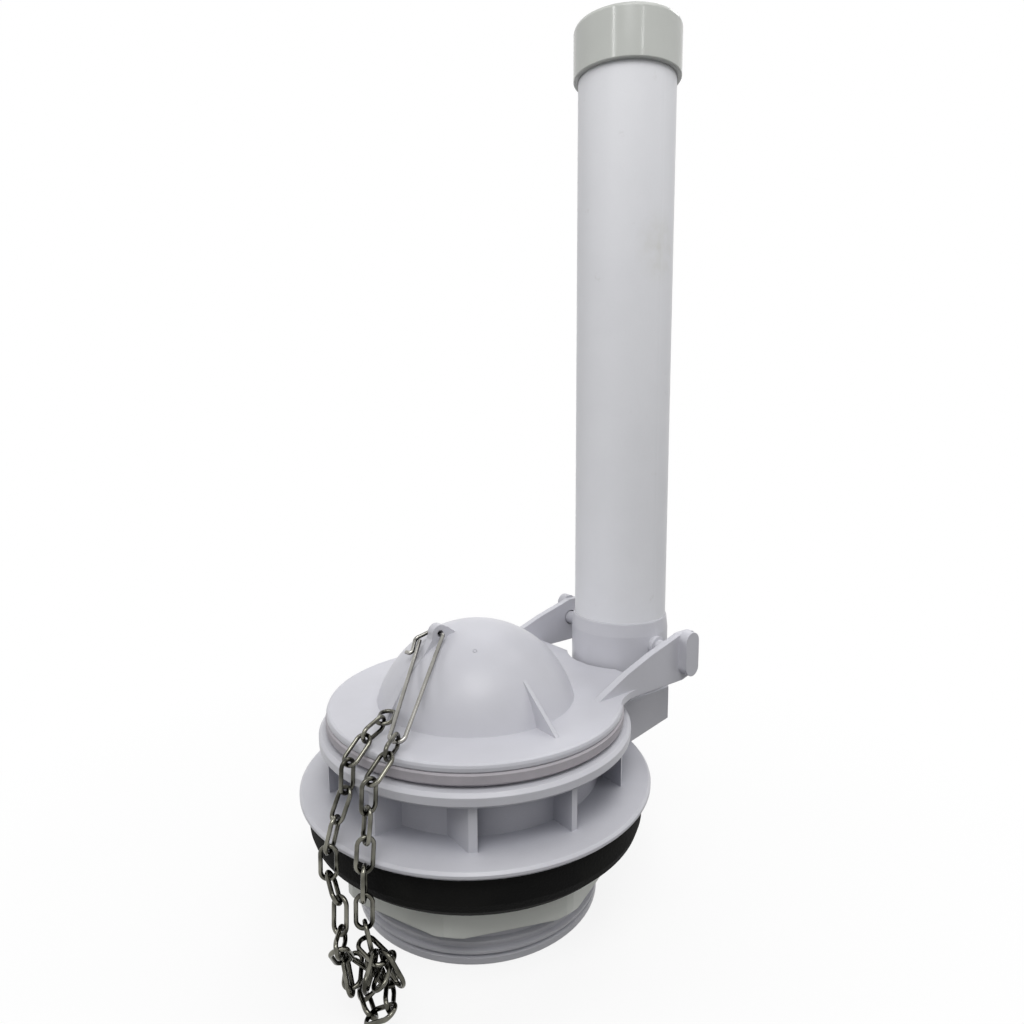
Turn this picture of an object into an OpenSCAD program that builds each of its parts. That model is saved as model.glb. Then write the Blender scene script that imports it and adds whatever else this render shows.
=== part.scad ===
// Toilet flush valve: hinged flapper on a threaded valve body with an overflow tube and a lift chain.
// Millimetres, +Z up. The origin is the centre of the shank's lower end; the hinge runs along X.

/* [Shank and flange] */
// Radius of the water way through the valve
bore_r = 36; // [26:0.5:46]
// Wall of the shank at its plain lead band
shank_wall = 3; // [2:0.1:5]
// Depth of the thread below its crests
thread_depth = 1.2; // [0.6:0.1:2]
// Rise from one thread crest to the next
thread_pitch = 3.05; // [2:0.05:5]
// Height of the flange's lower face above the foot
flange_z = 37.5; // [30:0.5:60]
// Width of the tank flange beyond the shank
flange_w = 16.9; // [10:0.1:25]
// Thickness of the tank flange
flange_t = 2.4; // [1.5:0.1:5]

/* [Seat] */
// Height of the drum between flange and seat
drum_h = 13.4; // [8:0.1:25]
// Wall of the drum
drum_wall = 3.5; // [2:0.1:5]
// Width of the seat ring around the water way
seat_w = 13.5; // [10:0.1:18]
// Thickness of the seat ring
seat_t = 4.1; // [2:0.1:8]
// Height of the raised lip that the seal closes on
lip_h = 0.6; // [0.3:0.1:2]
// Step from the seat's edge in to the ends of the ribs
rib_in = 2.3; // [1:0.1:5]
// Thickness of each rib
rib_t = 2; // [1:0.1:4]
// Distance between neighbouring ribs on the two sides
rib_pitch = 27.7; // [15:0.1:32]
// Distance between the two ribs at the front
rib_front = 29; // [15:0.1:40]

/* [Overflow] */
// Outer radius of the overflow tube
tube_r = 16.7; // [10:0.1:22]
// Wall of the overflow tube
tube_wall = 2.4; // [1.5:0.1:4]
// Length of the overflow tube
tube_len = 222; // [100:1:350]
// Height of the tube's lower end above the underside of the seat
tube_foot = 1.7; // [0.5:0.1:6]
// Wall of the socket around the tube
socket_wall = 0.95; // [0.8:0.05:4]
// Height of the socket's rim above the hinge axis
socket_rise = 8.9; // [6:0.1:30]
// Gap between the seal and the socket
socket_gap = 0.5; // [0.4:0.1:5]
// Floor and side wall of the overflow chamber
chamber_wall = 2.5; // [1.5:0.1:4]
// Slope of the chamber's floor down to the drum
chamber_slope = 10; // [0:1:15]
// Glue gap around the tube
glue_gap = 0.05; // [0.02:0.01:0.2]
// Wall of the collar around the tube
collar_wall = 1.55; // [1:0.05:4]
// Length of collar that grips the tube
collar_grip = 11.5; // [6:0.5:30]
// Height of the collar above the end of the tube
collar_over = 5; // [2:0.5:20]

/* [Gasket and locknut] */
// Thickness of the gasket
gasket_t = 13.8; // [6:0.1:20]
// Step from the flange's edge in to the gasket
gasket_in = 2.7; // [0.5:0.1:6]
// Taper of the gasket down to its lower face
gasket_taper = 3.6; // [0:0.1:6]
// Height of the locknut
nut_h = 10.4; // [6:0.1:16]
// Wall of the locknut behind its flats
nut_wall = 3; // [2:0.1:10]
// Radial play between the nut and the thread crests
nut_play = 0.4; // [0.3:0.05:1]
// Gap between the nut and the gasket
nut_gap = 0.3; // [0.1:0.1:2]

/* [Flapper] */
// Step from the seat's edge in to the flapper plate
plate_in = 2.5; // [1:0.1:5]
// Thickness of the flapper plate
plate_t = 2.4; // [1.5:0.1:5]
// Height of the dome above the plate
dome_h = 24; // [10:0.5:30]
// Wall of the dome
dome_wall = 2.2; // [1.2:0.1:4]
// Step from the hub in to the foot of the dome
dome_in = 1.5; // [0.5:0.1:6]
// Gap between the hub and the water way
hub_gap = 3; // [1.6:0.1:6]
// Thickness of the seal ring
seal_t = 3.6; // [2:0.1:6]
// Width of the seal beyond the plate
seal_over = 0.3; // [0:0.1:1.5]
// Gap between the closed seal and the seat lip
seal_gap = 0.2; // [0.1:0.1:1]
// Height of the hinge axis above the plate
hinge_rise = 6.8; // [5:0.1:12]
// Radius of the hinge pegs
peg_r = 2.5; // [1.5:0.1:4]
// Radial play of the ears on the pegs
peg_play = 0.35; // [0.3:0.05:1]
// Distance from the socket to the inside of an ear
ear_gap = 9.6; // [3:0.1:15]
// Thickness of an ear
ear_t = 2.5; // [1.5:0.1:5]
// Thickness of the pad on the outside of an ear
pad_t = 3.4; // [2:0.1:6]
// Thickness of the chain tab
tab_t = 3; // [1.5:0.1:5]
// Radius of the hole in the chain tab
tab_hole_r = 1; // [0.8:0.1:2]

/* [Chain] */
// Diameter of the link wire
wire_d = 1.2; // [0.8:0.05:1.8]
// Overall length of one link in wire diameters
link_long = 8.6; // [8:0.1:10]
// Overall width of one link in wire diameters
link_wide = 4.5; // [4:0.1:5]
// Play between two joined links in wire diameters
link_play = 0.27; // [0.2:0.01:0.5]
// Diameter of the clip wire
clip_d = 1.2; // [0.8:0.05:1.8]

/* [Hidden] */
$fn = 64;
eps = 0.01;
shank_r = bore_r + shank_wall;
crest_r = shank_r + 0.2;
root_r = crest_r - thread_depth;
flange_r = shank_r + flange_w;
flange_top = flange_z + flange_t;
drum_r = bore_r + drum_wall;
seat_r = bore_r + seat_w;
seat_z = flange_top + drum_h;
seat_top = seat_z + seat_t;
rib_r = seat_r - rib_in;
plate_r = seat_r - plate_in;
seal_r = plate_r + seal_over;
seal_z = seat_top + lip_h + seal_gap;
plate_z = seal_z + seal_t;
plate_top = plate_z + plate_t;
hub_r = bore_r - hub_gap;
dome_base_r = hub_r - dome_in;
dome_r = (dome_base_r * dome_base_r + dome_h * dome_h) / (2 * dome_h);
dome_c = plate_top + dome_h - dome_r;
socket_r = tube_r + glue_gap + socket_wall;
tube_y = seal_r + socket_gap + socket_r;
tube_z = seat_z + tube_foot;
tube_top = tube_z + tube_len;
hinge_z = plate_top + hinge_rise;
socket_top = hinge_z + socket_rise;
chamber_out = socket_r + 0.3;
chamber_in = chamber_out - chamber_wall;
chamber_roof = seat_z - chamber_wall;
collar_r = tube_r + glue_gap + collar_wall;
collar_z = tube_top - collar_grip;
collar_top = tube_top + collar_over;
gasket_z = flange_z - gasket_t;
gasket_r = flange_r - gasket_in;
gasket_low_r = gasket_r - gasket_taper;
nut_top = gasket_z - nut_gap;
nut_z = nut_top - nut_h;
nut_bore = crest_r + nut_play;
nut_flats = 2 * (nut_bore + nut_wall);
ear_x = socket_r + ear_gap;
ear_out = ear_x + ear_t;
pocket_end = ear_out - 0.5;
peg_end = pocket_end - 0.4;
scallop_r = socket_r + 1.9;
side_r = 20;
side_x = ear_out + side_r;
side_in = plate_r - 0.5;
side_y = sqrt(pow(side_in + side_r, 2) - side_x * side_x);
tab_y = -14;
tab_z = dome_c + sqrt(dome_r * dome_r - tab_y * tab_y) + 2.4;

// Chain layout. Each row lays one link: heading, slope and twist in degrees.
wire_r = wire_d / 2;
run = (link_long - 1) * wire_d;
half_w = (link_wide - 1) * wire_d / 2;
lap_d = (1 + link_play) * wire_d;
// Line about which the hanging chain swings under the flapper's rim
swing_y = -max(seat_r + 1.5 * wire_d, flange_r - 4.6);
swing_z = seat_top - 1.5 * wire_d;
// Strand from the clip over the rim and down to the heap
strand_a_pin = 3;
strand_a_x = 26;
strand_a = [
    [-50, -3, 90],
    [-74, -36, 0],
    [-76, -86, 10],
    [-76, -82, 14],
    [-76, -84, 14],
    [-76, -87, 14],
    [-76, -88, 0],
    [4, -65, -14],
    [26, -37, -19],
    [-31, 1, -3],
    [-151, -33, 1],
    [167, -2, -26]
];
// Strand from the free end over the rim and down to the heap
strand_b_pin = 4;
strand_b_x = 13.4;
strand_b = [
    [-38, 2, 0],
    [-66, -9, 0],
    [-76, -38, -4],
    [-76, -86, 4],
    [-76, -62, 2],
    [-76, -70, -20],
    [-70, -88, -20],
    [-11, -19, 26],
    [-33, -75, 2],
    [-35, 5, 8],
    [137, -55, 3],
    [-9, -49, 7],
    [149, 16, 3],
    [17, -1, 26]
];
// Twist of the link that joins the two strands in the heap
join_twist = 20;

function unit(v) = v / norm(v);
function turn(v, t, a) = cos(a) * v + sin(a) * cross(t, v);
function way(r) = [cos(r[1]) * cos(r[0]), cos(r[1]) * sin(r[0]), sin(r[1])];
function level(r) = [-sin(r[0]), cos(r[0]), 0];
function wide(s, i) = i == 0
    ? turn(level(s[0]), way(s[0]), s[0][2])
    : turn(unit(cross(way(s[i]), wide(s, i - 1))), way(s[i]), s[i][2]);
function lap(s, i) = let (c = unit(cross(wide(s, i), wide(s, i + 1))))
    c * sign(c * (way(s[i]) + way(s[i + 1])));
function step(s, i) = run * way(s[i]) - lap_d * lap(s, i);
function along(s, i) = i == 0 ? [0, 0, 0] : along(s, i - 1) + step(s, i - 1);
function head_a(i) = [strand_a_x, swing_y, swing_z] + along(strand_a, i) - along(strand_a, strand_a_pin);
function head_b(i) = [strand_b_x, swing_y, swing_z] + along(strand_b, i) - along(strand_b, strand_b_pin);
last_a = len(strand_a) - 1;
last_b = len(strand_b) - 1;
foot_a = head_a(last_a) + run * way(strand_a[last_a]);
foot_b = head_b(last_b) + run * way(strand_b[last_b]);
join_way = unit(foot_b - foot_a);
join_head = (foot_a + foot_b) / 2 - join_way * run / 2;
join_wide = turn(unit(cross(join_way, wide(strand_a, last_a))), join_way, join_twist);
function name_a(i) = str("link_a", i < 9 ? "0" : "", i + 1);
function name_b(i) = str("link_b", i < 9 ? "0" : "", i + 1);

// A round bar from one point to another
module bar(a, b, r) {
    d = b - a;
    translate(a)
        rotate([0, acos(d[2] / norm(d)), atan2(d[1], d[0])])
            cylinder(h = norm(d), r = r);
}

// Thread crests on the shank, one ring for each turn
module crests() {
    for (i = [0 : floor((flange_z - 5.2) / thread_pitch)])
        translate([0, 0, 4.2 + i * thread_pitch])
            rotate_extrude()
                polygon([
                    [root_r - 0.5, -1],
                    [root_r, -0.9],
                    [crest_r, -0.4],
                    [crest_r, 0.4],
                    [root_r, 0.9],
                    [root_r - 0.5, 1]
                ]);
}

// Shank, flange, drum and seat as one turned shape
module turned_body() {
    rotate_extrude()
        polygon([
            [bore_r, 0],
            [shank_r - 0.6, 0],
            [shank_r, 0.6],
            [shank_r, 2.4],
            [root_r, 2.9],
            [root_r, flange_z],
            [flange_r - 0.9, flange_z],
            [flange_r, flange_z + 0.9],
            [flange_r, flange_top - 0.7],
            [flange_r - 0.7, flange_top],
            [drum_r, flange_top],
            [drum_r, seat_z],
            [seat_r - 0.8, seat_z],
            [seat_r, seat_z + 0.8],
            [seat_r, seat_top - 1],
            [seat_r - 1, seat_top],
            [bore_r + 8.2, seat_top],
            [bore_r + 7.6, seat_top + lip_h],
            [bore_r + 5.4, seat_top + lip_h],
            [bore_r + 4.8, seat_top],
            [bore_r + 1, seat_top],
            [bore_r, seat_top - 1]
        ]);
}

// Ribs between flange and seat, straight across on the sides and straight out at the front
module seat_ribs() {
    h = seat_z - flange_top + 1;
    difference() {
        intersection() {
            union() {
                for (i = [-1 : 1])
                    translate([-rib_r, i * rib_pitch - rib_t / 2, flange_top - 0.5])
                        cube([2 * rib_r, rib_t, h]);
                for (s = [-1, 1])
                    translate([s * rib_front / 2 - rib_t / 2, -rib_r, flange_top - 0.5])
                        cube([rib_t, rib_r, h]);
            }
            cylinder(h = seat_top, r = rib_r);
        }
        cylinder(h = seat_top, r = drum_r - 0.5);
    }
}

// Outside of the overflow chamber, eight-sided behind, and of the tube socket
module socket_shell() {
    c = chamber_out * tan(22.5);
    translate([0, 0, flange_z])
        linear_extrude(seat_z - flange_z + 0.5)
            polygon([
                [-chamber_out, bore_r + 1],
                [chamber_out, bore_r + 1],
                [chamber_out, tube_y + c],
                [c, tube_y + chamber_out],
                [-c, tube_y + chamber_out],
                [-chamber_out, tube_y + c]
            ]);
    translate([0, tube_y, 0])
        rotate_extrude()
            polygon([
                [0, seat_z - 1],
                [socket_r, seat_z - 1],
                [socket_r, socket_top - 5],
                [socket_r - 0.55, socket_top - 0.5],
                [socket_r - 0.75, socket_top],
                [0, socket_top]
            ]);
}

// Wedge under the sloping floor of the overflow chamber, its edge at height z
module floor_wedge(z) {
    translate([-socket_r - 5, flange_r - 8, z])
        rotate([chamber_slope, 0, 0])
            translate([0, 0, -30])
                cube([2 * socket_r + 10, 3 * socket_r, 30]);
}

// Passage from the tube down into the drum
module overflow_way() {
    difference() {
        union() {
            translate([-chamber_in, bore_r - 6, flange_top])
                cube([2 * chamber_in, tube_y - bore_r + 6, chamber_roof - flange_top]);
            translate([0, tube_y, flange_top])
                cylinder(h = tube_z - flange_top + 1, r = chamber_in);
        }
        floor_wedge(flange_top);
    }
    translate([0, tube_y, tube_z])
        cylinder(h = socket_top, r = tube_r + glue_gap);
}

// Hinge pegs on both sides of the socket
module pegs() {
    for (s = [0, 1])
        mirror([s, 0, 0])
            translate([0, tube_y, hinge_z])
                rotate([0, 90, 0])
                    difference() {
                        union() {
                            cylinder(h = peg_end - 0.5, r = peg_r);
                            cylinder(h = peg_end, r = peg_r - 0.5);
                            cylinder(h = socket_r + 1.6, r = peg_r + 1);
                        }
                        translate([0, 0, -1])
                            cylinder(h = tube_r + glue_gap + 1.3, r = peg_r + 2);
                    }
}

module valve_body() {
    color([0.88, 0.88, 0.9]) {
        difference() {
            union() {
                turned_body();
                crests();
                seat_ribs();
                difference() {
                    socket_shell();
                    translate([0, 0, flange_z - 1])
                        cylinder(h = 60, r = bore_r + 1.5);
                    floor_wedge(flange_z);
                }
            }
            overflow_way();
        }
        pegs();
    }
}

module overflow_tube() {
    color([0.87, 0.87, 0.9])
        translate([0, tube_y, 0])
            rotate_extrude()
                polygon([
                    [tube_r - tube_wall, tube_z],
                    [tube_r - 0.6, tube_z],
                    [tube_r, tube_z + 0.6],
                    [tube_r, tube_top],
                    [tube_r - tube_wall, tube_top]
                ]);
}

module tube_collar() {
    color([0.8, 0.82, 0.8])
        translate([0, tube_y, 0])
            rotate_extrude()
                polygon([
                    [tube_r + glue_gap, collar_z],
                    [collar_r - 0.3, collar_z],
                    [collar_r, collar_z + 0.4],
                    [collar_r, collar_top - 1.2],
                    [collar_r - 0.3, collar_top - 0.3],
                    [collar_r - 1.2, collar_top],
                    [tube_r - tube_wall + 0.8, collar_top],
                    [tube_r - tube_wall, collar_top - 0.8],
                    [tube_r - tube_wall, tube_top],
                    [tube_r + glue_gap, tube_top]
                ]);
}

module tank_gasket() {
    color([0.06, 0.06, 0.06])
        rotate_extrude()
            polygon([
                [nut_bore, gasket_z],
                [gasket_low_r, gasket_z],
                [gasket_r - 0.8, gasket_z + 2.9],
                [gasket_r, gasket_z + 5.3],
                [gasket_r, flange_z],
                [nut_bore, flange_z]
            ]);
}

module locknut() {
    color([0.84, 0.84, 0.83])
        difference() {
            intersection() {
                translate([0, 0, nut_z])
                    cylinder(h = nut_top - nut_z, r = nut_flats / 2 / cos(22.5), $fn = 8);
                translate([0, 0, nut_z])
                    rotate_extrude()
                        polygon([
                            [0, 0],
                            [nut_flats / 2 + 2, 0],
                            [nut_flats / 2 + 3, 1],
                            [nut_flats / 2 + 3, nut_top - nut_z],
                            [0, nut_top - nut_z]
                        ]);
            }
            translate([0, 0, nut_z - 1])
                cylinder(h = nut_top, r = nut_bore);
        }
    color([0.84, 0.84, 0.83])
        for (i = [ceil((nut_z - 3.2) / thread_pitch - 0.5) : floor((nut_top - 5.2) / thread_pitch - 0.5)])
            translate([0, 0, 4.2 + (i + 0.5) * thread_pitch])
                rotate_extrude()
                    polygon([
                        [nut_bore + 0.4, -0.6],
                        [nut_bore, -0.5],
                        [nut_bore - 0.9, -0.25],
                        [nut_bore - 0.9, 0.25],
                        [nut_bore, 0.5],
                        [nut_bore + 0.4, 0.6]
                    ]);
}

// Outline of the plate with its shoulders and the notch round the socket
module plate_outline() {
    difference() {
        union() {
            circle(r = plate_r - 1.4);
            translate([-ear_out, 0])
                square([2 * ear_out, tube_y - 15]);
            for (s = [0, 1])
                mirror([s, 0])
                    difference() {
                        polygon([
                            [side_x * side_in / (side_in + side_r), side_y * side_in / (side_in + side_r)],
                            [ear_out - 1, sqrt(plate_r * plate_r - ear_out * ear_out) - 2],
                            [ear_out - 1, side_y],
                            [ear_out, side_y]
                        ]);
                        translate([side_x, side_y])
                            circle(r = side_r);
                    }
        }
        translate([0, tube_y])
            circle(r = scallop_r);
    }
}

// One ear with its pad, drawn for the +X side
module ear() {
    translate([ear_x, 0, 0])
        rotate([90, 0, 90])
            linear_extrude(ear_t)
                polygon([
                    [26, plate_z],
                    [26, plate_top],
                    [tube_y - 26.8, plate_top + 5.9],
                    [tube_y - 15.5, hinge_z + 3.1],
                    [tube_y - 5.5, hinge_z + 5.9],
                    [tube_y - 0.5, hinge_z + 7.4],
                    [tube_y + 5.5, hinge_z + 7.4],
                    [tube_y + 7.1, hinge_z + 6],
                    [tube_y + 7.1, hinge_z - 4.8],
                    [tube_y + 4.5, plate_z + 1],
                    [tube_y + 0.5, plate_z]
                ]);
    translate([ear_out - eps, 0, 0])
        rotate([90, 0, 90])
            linear_extrude(pad_t)
                union() {
                    translate([tube_y - 1.7, hinge_z - 3.9])
                        square([6.4, 9]);
                    translate([tube_y + 1.5, hinge_z - 3.9])
                        circle(r = 3.2);
                    translate([tube_y + 1.5, hinge_z + 5.1])
                        circle(r = 3.2);
                }
}

// Gusset that braces the dome on the +X side
module gusset() {
    rotate([90, 0, 0])
        translate([0, 0, -0.65])
            linear_extrude(1.3)
                polygon([
                    [dome_base_r - 9, plate_top - 0.5],
                    [dome_base_r - 9, plate_top + 0.56 * dome_h],
                    [dome_base_r - 7, plate_top + 0.53 * dome_h],
                    [dome_base_r + 8.5, plate_top],
                    [dome_base_r + 8.5, plate_top - 0.5]
                ]);
}

// Chain tab standing on the front of the dome
module chain_tab() {
    rotate([90, 0, -90])
        translate([0, 0, -tab_t / 2])
            linear_extrude(tab_t)
                union() {
                    polygon([
                        [8, plate_top + 10],
                        [8.5, tab_z - 0.5],
                        [11.5, tab_z + 1.8],
                        [16.4, tab_z + 1],
                        [17, tab_z - 1.6],
                        [20, tab_z - 5.8],
                        [26, tab_z - 11.4],
                        [dome_base_r + 2, plate_top],
                        [dome_base_r + 2, plate_top - 0.5],
                        [20, plate_top - 0.5]
                    ]);
                    translate([-tab_y, tab_z])
                        circle(r = tab_hole_r + 1.7);
                }
}

module flapper() {
    color([0.86, 0.86, 0.89])
        difference() {
            union() {
                rotate_extrude()
                    polygon([
                        [0, plate_z],
                        [plate_r - 0.4, plate_z],
                        [plate_r, plate_z + 0.4],
                        [plate_r, plate_top - 1],
                        [plate_r - 0.3, plate_top - 0.3],
                        [plate_r - 1, plate_top],
                        [0, plate_top]
                    ]);
                translate([0, 0, plate_z])
                    linear_extrude(plate_t)
                        plate_outline();
                intersection() {
                    translate([0, 0, dome_c])
                        sphere(r = dome_r);
                    translate([0, 0, plate_top - 0.5])
                        cylinder(h = dome_h + 2, r = dome_base_r + 4);
                }
                translate([0, 0, seat_top - 0.8])
                    cylinder(h = plate_z - seat_top + 1, r = hub_r);
                translate([0, 0, seat_top - 0.8])
                    cylinder(h = seal_z - seat_top + 0.7, r = hub_r + 1.4);
                for (s = [0, 1])
                    mirror([s, 0, 0]) {
                        ear();
                        gusset();
                    }
                chain_tab();
            }
            intersection() {
                translate([0, 0, dome_c])
                    sphere(r = dome_r - dome_wall);
                translate([0, 0, seat_top - 2])
                    cylinder(h = dome_h + 12, r = hub_r - 2.4);
            }
            translate([0, 0, seat_top - 2])
                cylinder(h = plate_top - seat_top + 1.5, r = hub_r - 3.6);
            for (s = [0, 1])
                mirror([s, 0, 0])
                    translate([ear_x - 1, tube_y, hinge_z])
                        rotate([0, 90, 0])
                            cylinder(h = pocket_end - ear_x + 1, r = peg_r + peg_play);
            translate([-tab_t, tab_y, tab_z])
                rotate([0, 90, 0])
                    cylinder(h = 2 * tab_t, r = tab_hole_r);
        }
}

module seal_ring() {
    color([0.72, 0.68, 0.72])
        rotate_extrude()
            polygon([
                [hub_r, seal_z],
                [seal_r - 0.8, seal_z],
                [seal_r, seal_z + 0.8],
                [seal_r, plate_z - 0.5],
                [seal_r - 0.5, plate_z],
                [hub_r, plate_z]
            ]);
}

// Oval link with its upper wire at the origin, hanging down -Z, wide along X
module link() {
    for (s = [0, 1])
        translate([0, 0, s == 0 ? -half_w : half_w - run])
            rotate([s == 0 ? 90 : -90, 0, 0])
                rotate_extrude(angle = 180)
                    translate([half_w, 0])
                        circle(r = wire_r, $fn = 32);
    for (s = [-1, 1])
        translate([s * half_w, 0, half_w - run])
            cylinder(h = run - 2 * half_w, r = wire_r, $fn = 32);
}

// Lays a link with its head at p, running along t, wide along b
module lay(p, t, b) {
    n = cross(-t, b);
    color([0.66, 0.65, 0.6])
        multmatrix([
            [b[0], n[0], -t[0], p[0]],
            [b[1], n[1], -t[1], p[1]],
            [b[2], n[2], -t[2], p[2]],
            [0, 0, 0, 1]
        ])
            link();
}

// A bent wire along the points p, each corner rounded to its centre-line radius c
module wire(p, c, r) {
    n = len(p) - 1;
    a = [for (i = [0 : n - 1]) unit(p[i + 1] - p[i])];
    t = [for (i = [0 : n]) i == 0 || i == n ? 0 : c[i] * tan(acos(a[i - 1] * a[i]) / 2)];
    for (i = [0 : n - 1])
        bar(p[i] + max(t[i] - 0.2, 0) * a[i], p[i + 1] - max(t[i + 1] - 0.2, 0) * a[i], r);
    for (i = [1 : n - 1]) {
        y = a[i - 1];
        x = unit((a[i] * y) * y - a[i]);
        z = cross(x, y);
        m = p[i] - t[i] * y - c[i] * x;
        multmatrix([
            [x[0], y[0], z[0], m[0]],
            [x[1], y[1], z[1], m[1]],
            [x[2], y[2], z[2], m[2]],
            [0, 0, 0, 1]
        ])
            rotate_extrude(angle = acos(y * a[i]))
                translate([c[i], 0])
                    circle(r = r + 0.05, $fn = 32);
    }
}

// Wire clip from its hook through the tab, round the first link and back up to its latch
module chain_clip() {
    r = clip_d / 2;
    n = level(strand_a[0]);
    eye = head_a(0) + (wire_r + r + 0.65) * way(strand_a[0]);
    low_p = eye + (wire_r + r + 0.9) * n;
    low_m = eye - (wire_r + r + 0.9) * n;
    top_p = [tab_t / 2 + 1.5, tab_y, tab_z];
    top_m = [-tab_t / 2 - 1.5, tab_y, tab_z];
    knee = top_m + [-2, -5, -2.2];
    w = unit(low_m - knee);
    side = unit((n * w) * w - n);
    hook = knee + 6 * w;
    tip = hook + 2 * side - 0.6 * w;
    latch = knee + 0.8 * w - (clip_d + 0.3) * side;
    color([0.68, 0.67, 0.63])
        wire(
            [tip, hook, knee, top_m, top_p, low_p, low_m, latch],
            [0, 0.8, 1.6, 1, 1, 1.8, 1.8, 0],
            r
        );
}

valve_body();
overflow_tube();
tube_collar();
tank_gasket();
locknut();
flapper();
seal_ring();
chain_clip();
for (i = [0 : last_a])
    lay(head_a(i), way(strand_a[i]), wide(strand_a, i));
for (i = [0 : last_b])
    lay(head_b(i), way(strand_b[i]), wide(strand_b, i));
lay(join_head, join_way, join_wide);  // link_join
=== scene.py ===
import math

import bpy
from mathutils import Matrix, Vector


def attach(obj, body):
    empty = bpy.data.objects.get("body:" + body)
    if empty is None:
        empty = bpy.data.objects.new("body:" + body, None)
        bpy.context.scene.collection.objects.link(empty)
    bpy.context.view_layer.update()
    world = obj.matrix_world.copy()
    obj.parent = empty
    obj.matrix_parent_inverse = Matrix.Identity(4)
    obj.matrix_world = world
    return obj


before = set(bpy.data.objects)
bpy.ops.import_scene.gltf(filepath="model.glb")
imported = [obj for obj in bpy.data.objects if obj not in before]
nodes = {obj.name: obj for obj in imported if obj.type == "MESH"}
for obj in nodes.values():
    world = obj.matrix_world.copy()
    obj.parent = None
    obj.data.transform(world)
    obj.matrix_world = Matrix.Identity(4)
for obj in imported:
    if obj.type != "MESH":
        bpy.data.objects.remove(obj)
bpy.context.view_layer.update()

# Valve body: shank with its thread, tank flange, ribbed drum, seat and tube socket.
# One injection moulding in slightly bluish white plastic with a half gloss skin.
# It is faintly cloudy and rubbed in spots, with painted shade making it greyer and bluer deep in
# its recesses.


def new_finish(name):
    material = bpy.data.materials.new(name)
    material.use_nodes = True
    tree = material.node_tree
    return material, tree, tree.nodes["Principled BSDF"]


def on_piece(tree):
    return tree.nodes.new("ShaderNodeTexCoord").outputs["Object"]


def mottle(tree, place, scale, detail, breakup=0.5):
    noise = tree.nodes.new("ShaderNodeTexNoise")
    noise.inputs["Scale"].default_value = scale
    noise.inputs["Detail"].default_value = detail
    noise.inputs["Roughness"].default_value = breakup
    tree.links.new(place, noise.inputs["Vector"])
    return noise.outputs["Fac"]


def two_tone(tree, amount, dark_at, dark, light_at, light):
    ramp = tree.nodes.new("ShaderNodeValToRGB")
    dark_end, light_end = ramp.color_ramp.elements
    dark_end.position = dark_at
    dark_end.color = (*dark, 1.0)
    light_end.position = light_at
    light_end.color = (*light, 1.0)
    tree.links.new(amount, ramp.inputs["Fac"])
    return ramp.outputs["Color"]


def ranged(tree, amount, low, high, start=0.0, end=1.0):
    span = tree.nodes.new("ShaderNodeMapRange")
    span.inputs["From Min"].default_value = start
    span.inputs["From Max"].default_value = end
    span.inputs["To Min"].default_value = low
    span.inputs["To Max"].default_value = high
    tree.links.new(amount, span.inputs["Value"])
    return span.outputs["Result"]


# Mixes a colour over the one under it: real stains and dirt, and painted shade where the callers
# darken recesses.
def stained_or_shaded(tree, amount, under, stain_or_shade):
    mix = tree.nodes.new("ShaderNodeMix")
    mix.data_type = "RGBA"
    mix.inputs["B"].default_value = (*stain_or_shade, 1.0)
    tree.links.new(amount, mix.inputs["Factor"])
    tree.links.new(under, mix.inputs["A"])
    return mix.outputs["Result"]


def open_to_air(tree, reach, own_shape_only):
    recess = tree.nodes.new("ShaderNodeAmbientOcclusion")
    recess.samples = 8
    recess.only_local = own_shape_only
    recess.inputs["Distance"].default_value = reach
    return recess.outputs["AO"]


def embossed(tree, height, strength, depth):
    bump = tree.nodes.new("ShaderNodeBump")
    bump.inputs["Strength"].default_value = strength
    bump.inputs["Distance"].default_value = depth
    tree.links.new(height, bump.inputs["Height"])
    return bump


def moulded_plastic(name, colour, shade, roughness, grain, grime, corner_shade=0.0, edge_radius=0.00035):
    material, tree, shader = new_finish(name)
    shader.inputs["IOR"].default_value = 1.49
    shader.inputs["Specular IOR Level"].default_value = 0.42
    place = on_piece(tree)

    cloud = mottle(tree, place, scale=38.0, detail=5.0, breakup=0.55)
    tone = two_tone(tree, cloud, dark_at=0.32, dark=shade, light_at=0.62, light=colour)
    spots = mottle(tree, place, scale=120.0, detail=8.0, breakup=0.7)
    dirt = ranged(tree, spots, low=0.0, high=grime, start=0.64, end=0.80)
    tone = stained_or_shaded(tree, dirt, tone, stain_or_shade=(0.42, 0.40, 0.35))
    # Painted shade: where the piece's own shape closes round the surface, as in the drum and under
    # the flange, the colour is darkened towards a blue grey.
    if corner_shade:
        air = open_to_air(tree, reach=0.022, own_shape_only=True)
        painted_corner_shade = ranged(tree, air, low=corner_shade, high=0.0, start=0.30, end=0.60)
        tone = stained_or_shaded(tree, painted_corner_shade, tone, stain_or_shade=(0.17, 0.18, 0.23))
    tree.links.new(tone, shader.inputs["Base Color"])

    rubbed = ranged(tree, spots, low=roughness - 0.05, high=roughness + 0.12, start=0.3, end=0.75)
    tree.links.new(rubbed, shader.inputs["Roughness"])

    edge = tree.nodes.new("ShaderNodeBevel")
    edge.samples = 6
    edge.inputs["Radius"].default_value = edge_radius
    pores = mottle(tree, place, scale=900.0, detail=3.0)
    skin = embossed(tree, pores, strength=grain, depth=0.0002)
    tree.links.new(edge.outputs["Normal"], skin.inputs["Normal"])
    tree.links.new(skin.outputs["Normal"], shader.inputs["Normal"])
    return material


def finish(node, material):
    nodes[node].data.materials.clear()
    nodes[node].data.materials.append(material)


finish("valve_body", moulded_plastic(
    "body_white", colour=(0.60, 0.60, 0.64), shade=(0.56, 0.56, 0.60),
    roughness=0.34, grain=0.10, grime=0.10, corner_shade=0.50))

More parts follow.
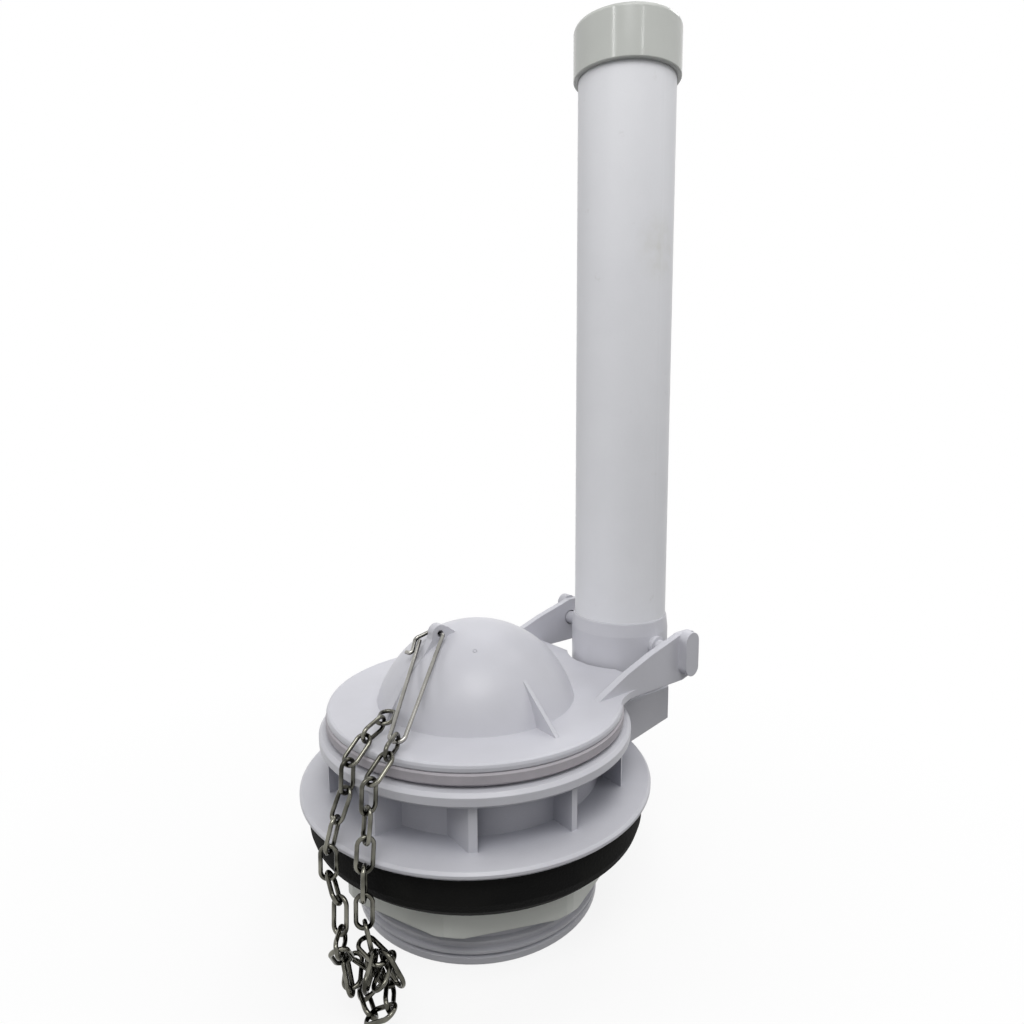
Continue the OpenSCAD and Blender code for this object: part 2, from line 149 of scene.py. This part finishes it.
# Overflow tube: a length of drawn plastic pipe glued into the socket.
# It is whiter than the mouldings, with handling marks and one faint yellow smear.


def combined(tree, operation, first, second):
    maths = tree.nodes.new("ShaderNodeMath")
    maths.operation = operation
    tree.links.new(first, maths.inputs[0])
    tree.links.new(second, maths.inputs[1])
    return maths.outputs[0]


pipe_white = moulded_plastic(
    "pipe_white", colour=(0.83, 0.835, 0.865), shade=(0.80, 0.805, 0.835),
    roughness=0.38, grain=0.14, grime=0.35)
pipe_tree = pipe_white.node_tree
pipe_colour = pipe_tree.nodes["Principled BSDF"].inputs["Base Color"]
pipe_clean = pipe_colour.links[0].from_socket
pipe_place = on_piece(pipe_tree)
smear_at = Vector((0.0167, 0.0649, 0.2080))
smear_size = Vector((0.010, 0.010, 0.014))
smear_centre = pipe_tree.nodes.new("ShaderNodeMapping")
smear_centre.inputs["Scale"].default_value = [1.0 / side for side in smear_size]
smear_centre.inputs["Location"].default_value = [
    -at / side for at, side in zip(smear_at, smear_size)]
pipe_tree.links.new(pipe_place, smear_centre.inputs["Vector"])
smear = pipe_tree.nodes.new("ShaderNodeTexGradient")
smear.gradient_type = "SPHERICAL"
pipe_tree.links.new(smear_centre.outputs["Vector"], smear.inputs["Vector"])
smear_broken = mottle(pipe_tree, pipe_place, scale=260.0, detail=4.0)
smear_faint = ranged(pipe_tree, smear_broken, low=0.08, high=0.40, start=0.35, end=0.75)
smear_amount = combined(pipe_tree, "MULTIPLY", smear.outputs["Fac"], smear_faint)
smeared = stained_or_shaded(pipe_tree, smear_amount, pipe_clean, stain_or_shade=(0.56, 0.55, 0.44))
pipe_tree.links.new(smeared, pipe_colour)
finish("overflow_tube", pipe_white)

# Tube collar: a short glossy moulded sleeve pushed over the top of the tube.
# Its plastic is a slightly green grey.
finish("tube_collar", moulded_plastic(
    "collar_grey", colour=(0.575, 0.59, 0.56), shade=(0.54, 0.555, 0.525),
    roughness=0.13, grain=0.05, grime=0.12))

# Tank gasket: thick ring of black sponge rubber between the flange and the tank's floor.
# The cut skin is matt and finely pored.
gasket_sponge, sponge_tree, sponge_shader = new_finish("gasket_sponge")
sponge_shader.inputs["Specular IOR Level"].default_value = 0.08
sponge_place = on_piece(sponge_tree)
bloom = mottle(sponge_tree, sponge_place, scale=90.0, detail=8.0)
black = two_tone(
    sponge_tree, bloom, dark_at=0.35, dark=(0.004, 0.004, 0.004),
    light_at=0.75, light=(0.014, 0.014, 0.013))
sponge_tree.links.new(black, sponge_shader.inputs["Base Color"])
matt = ranged(sponge_tree, bloom, low=0.68, high=0.92)
sponge_tree.links.new(matt, sponge_shader.inputs["Roughness"])
pores = sponge_tree.nodes.new("ShaderNodeTexVoronoi")
pores.inputs["Scale"].default_value = 1400.0
sponge_tree.links.new(sponge_place, pores.inputs["Vector"])
pitted = embossed(sponge_tree, pores.outputs["Distance"], strength=0.35, depth=0.0003)
sponge_tree.links.new(pitted.outputs["Normal"], sponge_shader.inputs["Normal"])
finish("tank_gasket", gasket_sponge)

# Locknut: flat eight-sided nut moulded in a warmer, duller white plastic.
# It is turned up the shank by hand against the underside of the tank.
finish("locknut", moulded_plastic(
    "nut_white", colour=(0.84, 0.86, 0.81), shade=(0.79, 0.81, 0.76),
    roughness=0.45, grain=0.16, grime=0.15))

# Flapper: plate with a hollow dome, two side gussets, chain tab and hinge ears.
# Moulded in one piece in the same bluish white plastic, clipped onto the body's pegs.
finish("flapper", moulded_plastic(
    "flapper_white", colour=(0.58, 0.58, 0.625), shade=(0.55, 0.55, 0.59),
    roughness=0.33, grain=0.10, grime=0.06))

# Gate mark: the small dished stub on the dome where the plastic flowed into the mould.
# It is part of the flapper's own plastic, trimmed level by a twist.
gate_at = Vector((0.01303, -0.00917, 0.08403))
gate_out = Vector((0.3997, -0.2725, 0.8752)).normalized()
gate_radius = 0.0006
gate_height = 0.00014
gate_edge = 0.00006
gate_land = 0.00015
dish_slope = 0.00012
dish_depth = 0.00003
facing_out = 0.9
bpy.ops.object.select_all(action="DESELECT")
bpy.ops.mesh.primitive_cylinder_add(vertices=32, radius=gate_radius, depth=gate_height)
gate = bpy.context.object
gate.name = "gate_mark"
bpy.ops.object.mode_set(mode="EDIT")
bpy.ops.mesh.select_all(action="DESELECT")
bpy.ops.mesh.select_mode(type="FACE")
bpy.ops.object.mode_set(mode="OBJECT")
for face in gate.data.polygons:
    face.select = face.normal.z > facing_out
bpy.ops.object.mode_set(mode="EDIT")
bpy.ops.mesh.bevel(offset=gate_edge, segments=3)
bpy.ops.mesh.inset(thickness=gate_land, depth=0.0)
bpy.ops.mesh.inset(thickness=dish_slope, depth=-dish_depth)
bpy.ops.object.mode_set(mode="OBJECT")
gate_turn = gate_out.to_track_quat("Z", "Y").to_matrix().to_4x4()
gate.data.transform(Matrix.Translation(gate_at) @ gate_turn)
bpy.ops.object.shade_smooth_by_angle(angle=math.radians(35.0))
gate.data.materials.append(moulded_plastic(
    "gate_white", colour=(0.56, 0.56, 0.605), shade=(0.53, 0.53, 0.57),
    roughness=0.40, grain=0.10, grime=0.06, edge_radius=0.00002))
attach(gate, "flapper_leaf")

# Seal ring: soft rubber washer stretched over the hub under the flapper's plate.
# A mauve grey with a dull, slightly tacky skin that holds dust.
seal_rubber, seal_tree, seal_shader = new_finish("seal_rubber")
seal_shader.inputs["Specular IOR Level"].default_value = 0.35
dust = mottle(seal_tree, on_piece(seal_tree), scale=160.0, detail=8.0)
mauve = two_tone(
    seal_tree, dust, dark_at=0.3, dark=(0.40, 0.38, 0.405),
    light_at=0.7, light=(0.47, 0.445, 0.475))
seal_tree.links.new(mauve, seal_shader.inputs["Base Color"])
dull = ranged(seal_tree, dust, low=0.5, high=0.75)
seal_tree.links.new(dull, seal_shader.inputs["Roughness"])
tacky = embossed(seal_tree, dust, strength=0.12, depth=0.0002)
seal_tree.links.new(tacky.outputs["Normal"], seal_shader.inputs["Normal"])
finish("seal_ring", seal_rubber)

# Chain clip: one length of bright drawn wire, bent through the tab's hole and the first link.
# Its free end hooks behind the other leg like a safety pin.


def drawn_wire(name, bright, dark, roughness):
    material, tree, shader = new_finish(name)
    shader.inputs["Metallic"].default_value = 1.0
    place = on_piece(tree)

    tarnish = mottle(tree, place, scale=160.0, detail=3.0)
    steel = two_tone(tree, tarnish, dark_at=0.35, dark=dark, light_at=0.68, light=bright)
    # Partly dark joints, partly painted shade: the colour goes near black where other links or
    # parts crowd round the wire, most of all in the heap.
    air = open_to_air(tree, reach=0.005, own_shape_only=False)
    crowded_joint_shade = ranged(tree, air, low=1.0, high=0.0, start=0.45, end=0.95)
    browned_and_shaded = stained_or_shaded(tree, crowded_joint_shade, steel, stain_or_shade=(0.022, 0.021, 0.017))
    tree.links.new(browned_and_shaded, shader.inputs["Base Color"])

    worn = ranged(tree, tarnish, low=roughness - 0.05, high=roughness + 0.07)
    tree.links.new(worn, shader.inputs["Roughness"])

    die_marks = mottle(tree, place, scale=1500.0, detail=2.0)
    drawn = embossed(tree, die_marks, strength=0.08, depth=0.0001)
    tree.links.new(drawn.outputs["Normal"], shader.inputs["Normal"])
    return material


finish("chain_clip", drawn_wire(
    "clip_wire", bright=(0.40, 0.39, 0.365), dark=(0.27, 0.265, 0.245), roughness=0.08))

# Lift chain: oval wire links closed round each other, hung over the flapper's rim.
# Dull steel wire, darkened where the links meet and crowd together, partly brown wear at the joints
# and partly painted shade, in two strands that end in one small heap.
chain_wire = drawn_wire(
    "chain_wire", bright=(0.23, 0.225, 0.19), dark=(0.045, 0.044, 0.036), roughness=0.08)
for name in nodes:
    if name.startswith("link_"):
        finish(name, chain_wire)

# Slack links: the loose end of the chain, tucked into the heap where the two strands meet.
# The same butted wire links, each hung in a link of the heap. A place gives the link's middle,
# the way its length points and the way its width points.
slack_places = [
    ((0.03138, -0.05389, 0.02046), (-0.9595, -0.2120, 0.1854), (-0.1961, 0.9754, 0.1005)),
    ((0.03720, -0.05162, 0.01818), (-0.5300, -0.2735, 0.8027), (-0.8224, -0.0649, -0.5651)),
    ((0.03612, -0.05334, 0.01782), (0.5855, -0.7343, -0.3435), (0.7672, 0.3650, 0.5274)),
    ((0.03561, -0.05676, 0.01924), (-0.6571, 0.6758, 0.3339), (0.2760, -0.1964, 0.9409)),
]
bend_radius = 0.0021
half_straight = 0.00246
wire_radius = 0.0006
weld = 0.00001
bpy.ops.object.select_all(action="DESELECT")
bpy.ops.mesh.primitive_torus_add(
    major_segments=32, minor_segments=16, major_radius=bend_radius, minor_radius=wire_radius)
pattern = bpy.context.object
bpy.ops.object.mode_set(mode="EDIT")
bpy.ops.mesh.select_all(action="SELECT")
bpy.ops.mesh.bisect(plane_co=(0.0, 0.0, 0.0), plane_no=(1.0, 0.0, 0.0), clear_inner=True)
bpy.ops.mesh.select_all(action="SELECT")
bpy.ops.transform.translate(value=(half_straight, 0.0, 0.0))
bpy.ops.mesh.select_mode(type="EDGE")
bpy.ops.mesh.select_all(action="DESELECT")
bpy.ops.mesh.select_non_manifold(
    extend=False, use_wire=False, use_boundary=True,
    use_multi_face=False, use_non_contiguous=False, use_verts=False)
bpy.ops.mesh.extrude_region_move(TRANSFORM_OT_translate={"value": (-half_straight, 0.0, 0.0)})
bpy.ops.object.mode_set(mode="OBJECT")
other_half = pattern.modifiers.new("other_half", "MIRROR")
other_half.use_axis = (True, False, False)
other_half.use_mirror_merge = True
other_half.merge_threshold = weld
bpy.ops.object.modifier_apply(modifier=other_half.name)
bpy.ops.object.mode_set(mode="EDIT")
bpy.ops.mesh.select_all(action="SELECT")
bpy.ops.mesh.remove_doubles(threshold=weld / 2.0)
bpy.ops.mesh.normals_make_consistent(inside=False)
bpy.ops.object.mode_set(mode="OBJECT")
bpy.ops.object.shade_smooth()
pattern.data.materials.append(chain_wire)
for number, (centre, along, across) in enumerate(slack_places, 1):
    along, across = Vector(along).normalized(), Vector(across).normalized()
    turn = Matrix((along, across, along.cross(across))).transposed()
    slack = bpy.data.objects.new(f"slack_link_{number}", pattern.data.copy())
    bpy.context.scene.collection.objects.link(slack)
    slack.data.transform(Matrix.Translation(centre) @ turn.to_4x4())
    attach(slack, "hanging_chain")
bpy.data.objects.remove(pattern)

# Studio floor: a sheet of pale paper that runs out to white.
# It shows white to the camera and in the steel, but throws little light back up.


def seen_directly(tree):
    path = tree.nodes.new("ShaderNodeLightPath")
    return combined(tree, "MAXIMUM", path.outputs["Is Camera Ray"], path.outputs["Is Glossy Ray"])


bpy.ops.object.select_all(action="DESELECT")
bpy.ops.mesh.primitive_plane_add(size=6.0, location=(0.0, 0.0, 0.0))
floor = bpy.context.object
floor.name = "floor"
floor_paper, paper_tree, paper_shader = new_finish("floor_paper")
paper_shader.inputs["Roughness"].default_value = 0.9
paper_shader.inputs["Specular IOR Level"].default_value = 0.1
paper_seen = seen_directly(paper_tree)
paper_tone = ranged(paper_tree, paper_seen, low=0.12, high=0.85)
paper_tree.links.new(paper_tone, paper_shader.inputs["Base Color"])
reach = paper_tree.nodes.new("ShaderNodeVectorMath")
reach.operation = "LENGTH"
paper_tree.links.new(on_piece(paper_tree), reach.inputs[0])
fade = ranged(paper_tree, reach.outputs["Value"], low=0.86, high=1.0, start=0.06, end=0.22)
white = paper_tree.nodes.new("ShaderNodeEmission")
white.inputs["Color"].default_value = (1.0, 1.0, 1.0, 1.0)
white.inputs["Strength"].default_value = 1.0
run_out = paper_tree.nodes.new("ShaderNodeMixShader")
paper_tree.links.new(combined(paper_tree, "MULTIPLY", paper_seen, fade), run_out.inputs["Fac"])
paper_tree.links.new(paper_shader.outputs["BSDF"], run_out.inputs[1])
paper_tree.links.new(white.outputs["Emission"], run_out.inputs[2])
paper_tree.links.new(
    run_out.outputs["Shader"], paper_tree.nodes["Material Output"].inputs["Surface"])
floor.data.materials.append(floor_paper)

# Studio light: white surround, soft discs round the valve and two narrow strips.
# The strips draw the two bright lines down the tube and its collar.
scene = bpy.context.scene
surround = bpy.data.worlds.new("surround")
scene.world = surround
surround.use_nodes = True
sky_tree = surround.node_tree
sky = sky_tree.nodes["Background"]
sky.inputs["Color"].default_value = (1.0, 1.0, 1.0, 1.0)
sky_level = ranged(sky_tree, seen_directly(sky_tree), low=0.25, high=1.0)
sky_tree.links.new(sky_level, sky.inputs["Strength"])

valve_middle = (0.0, 0.02, 0.13)
valve_foot = (0.0, 0.02, 0.10)
tube_upper = (0.0, 0.066, 0.27)
disc_width = 0.35
strip_height = 0.16


def soft_light(name, at, towards, power, width=disc_width, height=None, mirrored=True):
    lamp = bpy.data.lights.new(name, "AREA")
    lamp.shape = "DISK" if height is None else "RECTANGLE"
    lamp.size = width
    lamp.size_y = height or width
    lamp.energy = power
    holder = bpy.data.objects.new(name, lamp)
    scene.collection.objects.link(holder)
    holder.visible_camera = False
    holder.visible_glossy = mirrored
    holder.location = at
    holder.rotation_euler = (Vector(towards) - Vector(at)).to_track_quat("-Z", "Y").to_euler()


soft_light("front", (0.30, -0.22, 0.66), valve_middle, power=1.8)
soft_light("front_right", (0.36, 0.05, 0.68), valve_middle, power=0.45)
soft_light("back_right", (-0.045, 0.363, 0.68), valve_middle, power=1.0)
soft_light("back", (-0.29, 0.22, 0.68), valve_middle, power=0.25)
soft_light("behind", (-0.45, 0.40, 0.40), valve_middle, power=0.8, mirrored=False)
soft_light("left", (-0.366, -0.474, 0.42), valve_middle, power=1.0, mirrored=False)
soft_light("right", (0.366, 0.474, 0.42), valve_middle, power=0.55, mirrored=False)
soft_light("low_front", (0.48, -0.36, 0.40), valve_foot, power=0.25, mirrored=False)
soft_light(
    "strip_left", (0.117, -0.352, 0.44), tube_upper, power=0.16, width=0.024, height=strip_height)
soft_light(
    "strip_right", (0.400, -0.050, 0.44), tube_upper, power=0.08, width=0.018, height=strip_height)

# Camera: stands where the photograph was taken from, close by and looking slightly down.
# Its place, turn and lens were fitted to the tube's edges and the rims' ellipses.
camera_at = Vector((0.184158, -0.125657, 0.156575))
yaw = math.radians(-52.31697)
down = math.radians(7.67510)
roll = math.radians(-0.31140)
ahead = Vector((
    math.sin(yaw) * math.cos(down), math.cos(yaw) * math.cos(down), -math.sin(down)))
flat_right = Vector((math.cos(yaw), -math.sin(yaw), 0.0))
flat_up = flat_right.cross(ahead)
right = flat_right * math.cos(roll) + flat_up * math.sin(roll)
up = flat_up * math.cos(roll) - flat_right * math.sin(roll)
lens = bpy.data.cameras.new("camera")
lens.sensor_width = 36.0
lens.lens = 25.328
lens.shift_x = -0.0038
lens.shift_y = -0.0098
lens.clip_start = 0.01
camera = bpy.data.objects.new("camera", lens)
scene.collection.objects.link(camera)
camera_turn = Matrix((right, up, -ahead)).transposed().to_4x4()
camera.matrix_world = Matrix.Translation(camera_at) @ camera_turn
scene.camera = camera
scene.view_settings.view_transform = "Standard"
